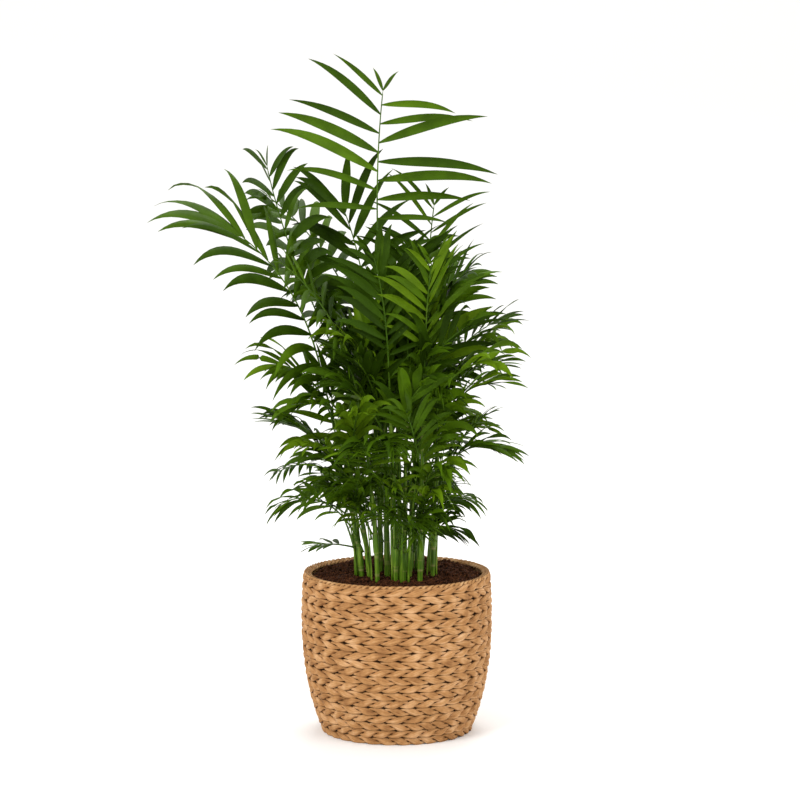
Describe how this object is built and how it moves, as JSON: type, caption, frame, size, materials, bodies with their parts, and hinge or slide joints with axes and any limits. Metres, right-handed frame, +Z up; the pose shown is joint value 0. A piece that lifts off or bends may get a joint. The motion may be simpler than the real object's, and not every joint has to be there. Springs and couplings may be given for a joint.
{
  "type": "potted parlor palm",
  "caption": "Clump-forming parlor palm with feather fronds on green canes, standing in a twined water hyacinth basket filled with peat.",
  "frame": {"origin": "middle of the basket's flat underside, on the surface that it stands on", "axes": "+Z up along the basket's axis, -Y towards the side that the picture shows, +X to its right"},
  "size_m": [0.4653, 0.3322, 0.8385],
  "materials": {
    "twined_water_hyacinth": "dried water hyacinth strands, twined and matt",
    "rim_cord": "thin twisted cord, matt",
    "peat": "dark moist potting compost, crumbly and matt",
    "cane": "green cane, satin",
    "frond": "palm leaf, satin"
  },
  "bodies": {
    "root": {"basket_base": "twined_water_hyacinth", "basket_wall": "twined_water_hyacinth", "cane_01": "cane", "cane_02": "cane", "cane_03": "cane", "cane_04": "cane", "cane_05": "cane", "cane_06": "cane", "cane_07": "cane", "cane_08": "cane", "cane_09": "cane", "cane_10": "cane", "cane_11": "cane", "cane_12": "cane", "cane_13": "cane", "cane_14": "cane", "frond_back_left": "frond", "frond_far_left": "frond", "frond_far_right": "frond", "frond_foot_left": "frond", "frond_foot_left_back": "frond", "frond_foot_right": "frond", "frond_fore_left": "frond", "frond_front_foot": "frond", "frond_front_left": "frond", "frond_front_low_right": "frond", "frond_front_right": "frond", "frond_high_02": "frond", "frond_high_03": "frond", "frond_high_04": "frond", "frond_high_09": "frond", "frond_high_11": "frond", "frond_high_14": "frond", "frond_left_pair": "frond", "frond_left_top": "frond", "frond_low_left": "frond", "frond_low_right": "frond", "frond_mid_right": "frond", "frond_right_top": "frond", "frond_top": "frond", "frond_upper_left": "frond", "frond_upper_right": "frond", "fronds_low_02": "frond", "fronds_low_03": "frond", "fronds_low_07": "frond", "fronds_low_08": "frond", "fronds_low_09": "frond", "fronds_low_10": "frond", "fronds_low_11": "frond", "fronds_low_12": "frond", "fronds_low_13": "frond", "fronds_low_14": "frond", "fronds_middle_02": "frond", "fronds_middle_08": "frond", "fronds_middle_11": "frond", "fronds_middle_13": "frond", "fronds_middle_14": "frond", "rim_cord": "rim_cord", "soil": "peat"}
  },
  "joints": []
}
